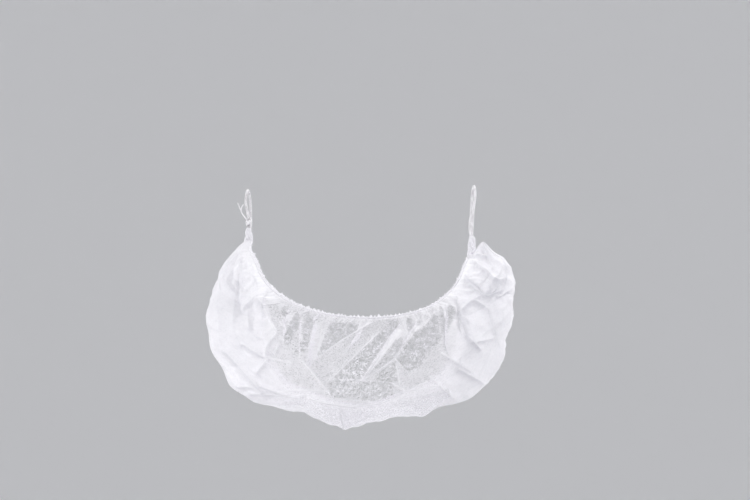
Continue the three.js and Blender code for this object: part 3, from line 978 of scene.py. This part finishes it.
def nonwoven(n):
    """The cloth's web of fibres, 0 to about 1.4, and its lit shaders."""
    uv = n.add("ShaderNodeUVMap").outputs["UV"]
    fibres = None
    for turn, across, along in FIBRE_RUNS:
        level_set = n.noise(n.stretched(uv, turn, (along, across, 1)), 1.0, 1.5)
        beside = n.math("ABSOLUTE", n.math("SUBTRACT", level_set, 0.5))
        thread = n.ramp(beside, 0.075, 0.0)
        fibres = thread if fibres is None else n.math("MAXIMUM", fibres, thread)
    blotch = n.noise(uv, 330, 2.0, 0.6)
    cloud = n.noise(uv, 80, 2.0)
    web = n.math("ADD", n.math("MULTIPLY", fibres, 0.5), n.math("MULTIPLY", blotch, 0.62))
    web = n.math("ADD", web, n.math("MULTIPLY", cloud, 0.3))
    principled = n.shader(BUNCHED_WHITE, Roughness=0.82, Sheen_Weight=0.25, Sheen_Roughness=0.5)
    translucent = n.add("ShaderNodeBsdfTranslucent", Color=GLOW_WHITE)
    n.bump(web, (principled, translucent), Strength=0.45, Distance=0.00018)
    lit = n.add("ShaderNodeMixShader", Fac=0.12)
    n.link(principled.outputs[0], lit.inputs[1])
    n.link(translucent.outputs[0], lit.inputs[2])
    return web, principled, translucent, lit


def bunched_material():
    """White nonwoven that is bunched too tightly to be seen through."""
    n = Nodes("nonwoven_bunched")
    lit = nonwoven(n)[-1]
    return n.finish(lit)


def sheer_material():
    """White nonwoven: a web of fine fibres, thicker and thinner by chance, with painted shade in its
    folds.
    """
    n = Nodes("nonwoven_sheer")
    web, principled, translucent, lit = nonwoven(n)
    density = n.value("thickness_share")
    # thick cloth lets less light through
    n.link(n.math("SUBTRACT", 0.85, n.math("MULTIPLY", density, 0.68)), lit.inputs["Fac"])
    # thin cloth shows its fibres
    open_share = n.math("POWER", n.math("SUBTRACT", 1.08, density), 3.0)
    spread = n.math("MULTIPLY", n.math("SUBTRACT", web, 0.79), n.math("MULTIPLY", open_share, 4.4))
    cover = n.math("ADD", density, spread, clamp=True)
    # the painted shade of the folds, from the mesh, and the web's own mottle grey the white together
    mottle = n.math("MULTIPLY", n.math("SUBTRACT", 0.76, web), 0.3)
    shade_and_mottle = n.math("ADD", n.value("fold_shade"), mottle, clamp=True)
    tone = n.blend(shade_and_mottle, CLOTH_WHITE, CLOTH_SHADE_AND_MOTTLE_GREY)
    n.link(tone, principled.inputs["Base Color"])
    n.link(tone, translucent.inputs["Color"])
    clear = n.add("ShaderNodeBsdfTransparent")
    see = n.add("ShaderNodeMixShader")
    n.link(cover, see.inputs["Fac"])
    n.link(clear.outputs[0], see.inputs[1])
    n.link(lit.outputs[0], see.inputs[2])
    return n.finish(see)


def cord_material():
    """Soft white elastic cord, mottled, with painted shade between its plies."""
    n = Nodes("elastic_cord")
    place = n.add("ShaderNodeTexCoord").outputs["Object"]
    fine = n.noise(place, 2600, 2.0, 0.6)
    patch = n.noise(place, 350, 2.0)
    mottle = n.math("ADD", n.math("MULTIPLY", fine, 0.5), n.math("MULTIPLY", patch, 0.5))
    # painted shade near the cord's middle, between its plies; the mottle is the cord's own
    outer = n.ramp(n.value("outer_share"), 0.35, 0.85)
    bright = n.math("MULTIPLY", n.ramp(mottle, 0.3, 0.6), outer)
    principled = n.shader(CORD_WHITE, Roughness=0.85, Sheen_Weight=0.3)
    n.link(n.blend(bright, CORD_SHADE_AND_MOTTLE_GREY, CORD_WHITE), principled.inputs["Base Color"])
    n.bump(fine, (principled,), Strength=0.5, Distance=0.0002)
    return n.finish(principled)


def plain_material(name, colour):
    """One matt colour all over."""
    n = Nodes(name)
    return n.finish(n.shader(colour, Roughness=0.95))


sheer = sheer_material()
bunched = bunched_material()
elastic = cord_material()


# The pouch
cloth = Cloth()
points, density, shade = pouch_points(cloth)
pouch_faces = grid_faces(SECTIONS + 1, ACROSS + 1)
pouch = mesh_object("cloth_pouch", points.reshape(-1, 3), pouch_faces, sheer)
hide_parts("pouch")
flat_run = cloth.u_share[:, None] * FLAT_LENGTH + 0 * cloth.width
add_uv(pouch, np.stack([flat_run, cloth.width * MM], axis=-1).reshape(-1, 2))
add_values(pouch, "thickness_share", density)
# the painted shade, which the material greys the cloth with
add_values(pouch, "fold_shade", shade)


# The hems, as fine gathers over a thread, with a crimped edge that stands above them
HEM_STEP = 0.28
HEM_SIDES = 12
HEM_RADIUS = 0.56
HEM_SWELL = 0.24  # how much a tooth adds to the radius
HEM_ROUGHNESS = 0.26
HEM_OUT = 0.4  # from the cloth's edge out to the thread
HEM_TOOTH = 2.9  # from one tooth of the crimped edge to the next
TALL_TOOTH_EVERY = 9
FRILL_HEIGHT = 0.7
FRILL_UNEVEN = 0.25
FRILL_TOOTH = 1.7
FRILL_SWAY = 0.6


def hem_teeth(along, seed):
    """Where each point lies among the crimped edge's teeth, and how high its tooth is, 0 to 1."""
    rng = np.random.default_rng(seed)
    warp = along + 1.1 * noise1(along / 4.5, seed, seed)
    tall = rng.uniform(0.6, 1, int(along[-1] / HEM_TOOTH) + 8) ** 2
    tall[::TALL_TOOTH_EVERY] += 0.5
    place = warp / HEM_TOOTH
    return place, ridge(place) ** 1.4 * tall[np.floor(place).astype(int) + 2]


def frill_directions(path, outward, stands):
    """Unit vectors up and across the crimped edge, at each point of its path."""
    even = np.linspace(0, 1, len(path))
    places = np.linspace(0, 1, len(outward))
    up = np.stack([np.interp(even, places, outward[:, k]) for k in range(3)], axis=1)
    upright = np.stack([-0.012 * path[:, 0], 0 * even + 0.2, 0 * even + 1], axis=1)
    up = up * (1 - stands) + upright * stands
    tangent = tangents(path)
    up -= tangent * (up * tangent).sum(axis=1)[:, None]
    up /= np.linalg.norm(up, axis=1)[:, None]
    across = np.cross(tangent, up)
    return up, across / np.linalg.norm(across, axis=1, keepdims=True)


def hem_piece(name, node, edge, inner, seed, stands):
    """A hem along an edge of the pouch. stands says how far its crimped edge turns up."""
    outward = edge - inner
    outward = np.stack([running_mean(outward[:, k], 12, mode="edge") for k in range(3)], axis=1)
    outward /= np.linalg.norm(outward, axis=1, keepdims=True)
    path, length = smooth_path(edge[4:-4:6] + outward[4:-4:6] * HEM_OUT, HEM_STEP)
    along = np.linspace(0, length, len(path))
    place, tooth = hem_teeth(along, seed)
    turn = np.linspace(0, 2 * math.pi, HEM_SIDES, endpoint=False)
    minor = noise2(along[:, None] / 0.8, turn[None] * 1.1, seed + 3)
    body = tube(path, HEM_RADIUS + HEM_SWELL * tooth[:, None] + HEM_ROUGHNESS * minor, HEM_SIDES)
    # the crimped edge
    up, across = frill_directions(path, outward, stands)
    ends = smoothstep(np.minimum(along, length - along), 2, 14)
    high = FRILL_HEIGHT + FRILL_UNEVEN * noise1(along / 0.9, 5, seed + 4)
    high = (high + FRILL_TOOTH * tooth) * (0.35 + 0.65 * ends)
    sway = FRILL_SWAY * np.sin(2 * math.pi * place)
    sway = (sway + 0.3 * noise1(along / 1.1, 7, seed + 6)) * ends
    rows = [
        path + up * (high * share)[:, None] + across * (sway * share)[:, None]
        for share in (0, 0.5, 1)
    ]
    frill = np.stack(rows, axis=1).reshape(-1, 3), grid_faces(len(path), len(rows))
    points, faces = joined([body, frill])
    piece = mesh_object(name, points, faces, bunched)
    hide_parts(node)
    add_uv(piece, slanted_uv(points))


hem_piece("hem_at_face", "face_hem", points[:, 0], points[:, 3], 301, 0.8)
hem_piece("hem_at_neck", "neck_hem", points[:, -1], points[:, -4], 402, 0)


# The gathered ends: tight lengthwise pleats that turn a little as they rise
GATHER_SIDES = 96
GATHER_STEPS = 44
GATHER_BELOW = 3  # how far they reach into the pouch's end
GATHER_TOP_RADIUS = 1.35
GATHER_FOOT_RADIUS = 3.5
GATHER_TWIST = 0.9
CRINKLE = 0.12
# Pleats round a gathered end. Columns: how many, how far noise bends them, its cells round and up.
PLEATS = (9, 0.4, 2, 3)
FINE_PLEATS = (23, 0.5, 3, 5)


def pleat_wave(turn, share, row, seed):
    """Pleats round a gathered end, 0 to 0.5."""
    count, bend, cells_round, cells_up = row
    shift = bend * noise2(turn * cells_round, share * cells_up, seed)
    return 0.5 * ridge(turn * count / (2 * math.pi) + shift)


def gather_piece(name, node, side, foot, length, seed, full):
    """A gathered end. full says how far up it stays wide."""
    height = np.linspace(-GATHER_BELOW, length, GATHER_STEPS + 1)
    share = np.clip(height / length, 0, 1)[:, None]
    turn = np.linspace(0, 2 * math.pi, GATHER_SIDES, endpoint=False)[None]
    twisted = turn + GATHER_TWIST * share
    wide = GATHER_FOOT_RADIUS - GATHER_TOP_RADIUS
    radius = GATHER_TOP_RADIUS + wide * np.sqrt(1 - share**full)
    pleats = pleat_wave(twisted, share, PLEATS, seed)
    fine = pleat_wave(twisted, share, FINE_PLEATS, seed + 1)
    radius = radius * (0.66 + 0.476 * pleats + 0.2 * fine * pleats)
    radius = radius * (1 + CRINKLE * noise2(height[:, None] / 0.9, turn * 1.6, seed + 2))
    path = np.stack([
        side * END_SPAN / 2 + 0.25 * np.sin(height * 0.9),
        END_SETBACK + 0 * height,
        foot + height,
    ], axis=1)
    points, faces = tube(path, radius, GATHER_SIDES)
    piece = mesh_object(name, points, faces, bunched)
    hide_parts(node)
    add_uv(piece, slanted_uv(points))


left_foot = LEFT_END_RISE + CLOTH_THICKNESS / 2 + PIECE_GAP
right_foot = RIGHT_END_RISE + CLOTH_THICKNESS / 2 + PIECE_GAP
gather_piece("gathers_left", "gather_left", -1, left_foot, LEFT_GATHER_LENGTH, 510, 0.7)
gather_piece("gathers_right", "gather_right", 1, right_foot, RIGHT_GATHER_LENGTH, 620, 1.6)


# The ear loops, along the same routes as their solids: out in cord radii, back as a share of
# the loop's depth and up as a share of its rise
LEFT_ROUTE = [
    (0, 0, 0),
    (0.9, 0.02, 0.25),
    (1.9, 0.05, 0.58),
    (1.6, 0.14, 0.85),
    (0.9, 0.42, 1),
    (0, 0.78, 0.88),
    (-0.6, 1, 0.45),
    (-0.9, 0.95, -0.1),
    (-0.4, 0.62, -0.42),
]
RIGHT_ROUTE = [
    (0, 0, 0),
    (0.3, 0.01, 0.2),
    (0.9, 0.03, 0.5),
    (2.2, 0.1, 0.84),
    (1.6, 0.42, 1),
    (0.6, 0.8, 0.88),
    (0, 1, 0.55),
    (-0.4, 0.9, 0.18),
    (-0.2, 0.5, -0.06),
]
PLY_RADIUS = 0.52
PLY_SPREAD = 0.44
PLY_PITCH = 3.3
PLY_SIDES = 10
CORD_STEP = 0.3
LEFT_SINK = 1.2  # how deep the cord starts in the knot or the bunched cloth
RIGHT_SINK = 2
LEFT_LEG_GAP = 1.2  # from its front leg's foot back to its rear leg's
RIGHT_LEG_GAP = 1


def plied(path, radius, pitch, spread):
    """Two plies twisted round a path."""
    a, b = transport(path)
    along = np.concatenate([[0], np.cumsum(np.linalg.norm(np.diff(path, axis=0), axis=1))])
    plies = []
    for k in range(2):
        turn = 2 * math.pi * along / pitch + math.pi * k
        slack = spread * (1 + 0.12 * noise1(along / 3, k, 77 + k))
        line = path + a * (slack * np.cos(turn))[:, None] + b * (slack * np.sin(turn))[:, None]
        swell = radius * (1 + 0.1 * noise1(along / 1.6, 3 + k, 88 + k))
        plies.append(tube(line, swell[:, None], PLY_SIDES))
    return plies


def loop_points(side, start, rise, route, end):
    """A loop's route in mm, from where it starts to where it ends."""
    rows = [
        (start[0] + side * out * CORD_RADIUS, start[1] + back * LOOP_DEPTH, start[2] + up * rise)
        for out, back, up in route
    ]
    return rows + [end]


def outer_share(points, path, most):
    """How far out from a cord's middle each point lies, 0 to 1."""
    away = np.array([np.linalg.norm(path - p, axis=1).min() for p in points])
    return np.clip(away / most, 0, 1)


def cord_piece(name, node, points):
    """A twisted cord along a route."""
    path, length = smooth_path(points, CORD_STEP)
    body, faces = joined(plied(path, PLY_RADIUS, PLY_PITCH, PLY_SPREAD))
    piece = mesh_object(name, body, faces, elastic)
    # how far out each point lies, for the painted shade between the plies
    add_values(piece, "outer_share", outer_share(body, path, PLY_RADIUS + PLY_SPREAD))
    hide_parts(node)


knot_foot = left_foot + LEFT_GATHER_LENGTH + PIECE_GAP
knot_top = knot_foot + KNOT_LENGTH
knot_middle = (knot_foot + knot_top) / 2
right_top = right_foot + RIGHT_GATHER_LENGTH
left_x = -END_SPAN / 2
right_x = END_SPAN / 2
left_start = (left_x, END_SETBACK, knot_top + PIECE_GAP - LEFT_SINK)
left_end = (left_x, END_SETBACK + LEFT_LEG_GAP, knot_middle)
right_start = (right_x, END_SETBACK, right_top + PIECE_GAP - RIGHT_SINK)
right_end = (right_x, END_SETBACK + RIGHT_LEG_GAP, right_top - CORD_RADIUS)
left_route = loop_points(-1, left_start, LEFT_LOOP_RISE, LEFT_ROUTE, left_end)
right_route = loop_points(1, right_start, RIGHT_LOOP_RISE, RIGHT_ROUTE, right_end)
cord_piece("cord_left", "ear_loop_left", left_route)
cord_piece("cord_right", "ear_loop_right", right_route)

# The knot: one thin cord wound through itself and drawn tight round two more plies
KNOT_STRAND = 0.85
KNOT_STEPS = 180
KNOT_SIDES = 10
CORE_STEPS = 24
CORE_PLY_RADIUS = 0.6
CORE_PLY_SPREAD = 0.42
CORE_PITCH = 5
KNOT_RADIUS = 2.2


def knot_piece(name, node):
    """The knot above the left gathered end."""
    t = np.linspace(0, 2 * math.pi, KNOT_STEPS + 1)[:-1]
    lobes = np.stack([
        0.5 * (np.sin(t) + 2 * np.sin(2 * t)) + left_x,
        0.5 * (np.cos(t) - 2 * np.cos(2 * t)) + END_SETBACK,
        knot_middle - 1.3 * np.sin(3 * t) + 0.6 * np.sin(t),
    ], axis=1)
    lobes = np.vstack([lobes, lobes[:1]])
    core = np.stack([
        np.full(CORE_STEPS, left_x),
        np.full(CORE_STEPS, END_SETBACK),
        np.linspace(knot_foot - 0.9, knot_top + 0.3, CORE_STEPS),
    ], axis=1)
    wound = tube(lobes, KNOT_STRAND, KNOT_SIDES)
    points, faces = joined([wound, *plied(core, CORE_PLY_RADIUS, CORE_PITCH, CORE_PLY_SPREAD)])
    piece = mesh_object(name, points, faces, elastic)
    # how far out each point lies, for the painted shade near the knot's middle
    add_values(piece, "outer_share", outer_share(points, core, KNOT_RADIUS))
    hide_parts(node)


knot_piece("knot_of_cord", "knot_left")

# The loose ends: out and ahead in cord radii, up as a share of the end's rise
LEFT_TAIL = [(1.2, 0.6, -0.05), (2.9, 0.9, 0.14), (4.2, 1.2, 0.33), (5.6, 1.6, 0.66), (7, 1.6, 1)]
LEFT_FORK = [(4.9, 1.4, 0.5), (4.4, 1.7, 0.72), (3.6, 1.9, 0.86), (2.8, 1.9, 0.92)]
RIGHT_TAIL = [(-1.2, 1.2, 0), (-1.9, 1.6, 0.35), (-1.8, 1.6, 0.65), (-1.2, 1.5, 1)]
TAIL_STEP = 0.25
TAIL_SIDES = 8
TAIL_TIP = 0.55  # its thickness there, as a share of the foot's


def tail_piece(name, node, side, base, rise, routes, radius):
    """A loose end, of one strand for each route, that thins out to its tip."""
    parts = []
    for route in routes:
        rows = [
            (base[0] + side * out * CORD_RADIUS, base[1] - ahead * CORD_RADIUS, base[2] + up * rise)
            for out, ahead, up in route
        ]
        path = smooth_path(rows, TAIL_STEP)[0]
        thin = np.linspace(1, TAIL_TIP, len(path))[:, None]
        parts.append(tube(path, radius * thin, TAIL_SIDES))
    points, faces = joined(parts)
    piece = mesh_object(name, points, faces, elastic)
    add_values(piece, "outer_share", np.ones(len(points)))
    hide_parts(node)


left_base = (left_x, END_SETBACK, knot_top - STRAND_RADIUS)
right_base = (right_x, END_SETBACK, right_top + PIECE_GAP + STRAND_RADIUS)
tail_piece(
    "loose_end_left", "tail_left", -1, left_base, LEFT_TAIL_RISE, [LEFT_TAIL, LEFT_FORK], 0.5
)
tail_piece("loose_end_right", "tail_right", 1, right_base, RIGHT_TAIL_RISE, [RIGHT_TAIL], 0.36)


# Floor and backdrop in one pale bowl, well clear of the net. Columns: out and up, in metres.
BOWL = [
    (0, -0.9), (2.5, -0.9), (4.0, -0.85), (5.2, -0.55),
    (6.1, 0.1), (6.6, 1.2), (6.8, 3.2), (6.8, 6),
]
BOWL_SIDES = 96
BOWL_STEP = 0.2
PAPER = (0.84, 0.84, 0.85, 1)
profile, _ = smooth_path([(out, 0, up) for out, up in BOWL], BOWL_STEP)
turns = np.linspace(0, 2 * math.pi, BOWL_SIDES, endpoint=False)
bowl = np.stack([
    profile[:, None, 0] * np.cos(turns),
    profile[:, None, 0] * np.sin(turns),
    profile[:, None, 2] * np.ones_like(turns),
], axis=-1).reshape(-1, 3)
stage_mesh = bpy.data.meshes.new("stage")
stage_mesh.from_pydata(bowl.tolist(), [], grid_faces(len(profile), BOWL_SIDES, wrap=True))
stage_mesh.shade_smooth()
stage_mesh.materials.append(plain_material("stage_paper", PAPER))
in_scene("stage", stage_mesh)

# Camera: level, straight ahead of the net and on the photograph's own scale
CAMERA_AWAY = 4.0
SENSOR = 36
camera_x, camera_z = px(FRAME_PIXELS[0] / 2, FRAME_PIXELS[1] / 2)
camera_data = bpy.data.cameras.new("camera")
camera_data.sensor_width = SENSOR
camera_data.lens = SENSOR * CAMERA_AWAY / (FRAME_PIXELS[0] * PIXEL * MM)
camera_data.clip_end = 100
camera = in_scene("camera", camera_data)
camera.location = (camera_x * MM, -CAMERA_AWAY, camera_z * MM)
camera.rotation_euler = (math.pi / 2, 0, 0)
scene.camera = camera

# Lights, all aimed at the net. Columns: name, place and side in metres, and power in watts.
LIGHT_AIM = (0, 0.05, 0)
LIGHTS = [
    ("key", (-1.2, -2.0, 1.7), 0.6, 26),
    ("right_side", (2.0, -0.3, 0.9), 0.8, 22),
    ("left_side", (-2.0, -0.2, 0.9), 0.8, 14),
    ("rim", (0.6, 1.7, 1.5), 0.8, 20),
]
for name, place, size, power in LIGHTS:
    lamp = bpy.data.lights.new(name, "AREA")
    lamp.shape = "SQUARE"
    lamp.size = size
    lamp.energy = power
    light = in_scene(name, lamp)
    light.location = place
    light.rotation_euler = (Vector(LIGHT_AIM) - Vector(place)).to_track_quat("-Z", "Y").to_euler()

world = bpy.data.worlds.new("studio")
world.use_nodes = True
background = world.node_tree.nodes["Background"]
background.inputs["Color"].default_value = (0.97, 0.98, 1, 1)
background.inputs["Strength"].default_value = 0.64
scene.world = world
scene.view_settings.view_transform = "Standard"
scene.cycles.transparent_max_bounces = 32
